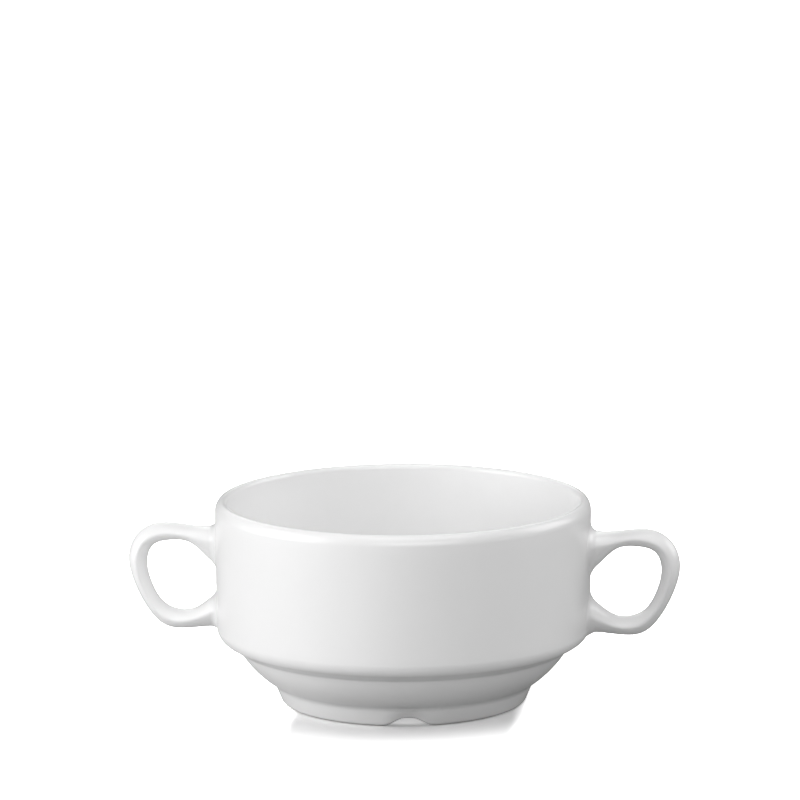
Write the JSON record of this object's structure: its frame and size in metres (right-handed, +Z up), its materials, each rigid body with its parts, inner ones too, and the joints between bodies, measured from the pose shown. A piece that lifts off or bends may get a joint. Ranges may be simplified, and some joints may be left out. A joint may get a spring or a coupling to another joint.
{
  "type": "lug soup bowl",
  "caption": "Straight-sided stacking soup bowl with a stepped foot, drain notches in its foot ring and a finger loop lug on each side.",
  "frame": {"origin": "on the bowl's own axis, at the level of the table that its foot ring stands on", "axes": "+Z up along the bowl's axis, +X through the middle of the right lug, -Y towards the side that the picture shows"},
  "size_m": [0.16, 0.1086, 0.059],
  "materials": {
    "glazed_body": "gloss clear glaze over a white vitrified body, bare on the standing ring",
    "glazed_lug": "gloss clear glaze over a white vitrified body",
    "fired_slip": "fired clay slip under the same gloss glaze"
  },
  "bodies": {
    "root": {"bowl_body": "glazed_body", "left_lug": "glazed_lug", "right_lug": "glazed_lug", "left_upper_joint": "fired_slip", "left_lower_joint": "fired_slip", "right_upper_joint": "fired_slip", "right_lower_joint": "fired_slip"}
  },
  "joints": []
}
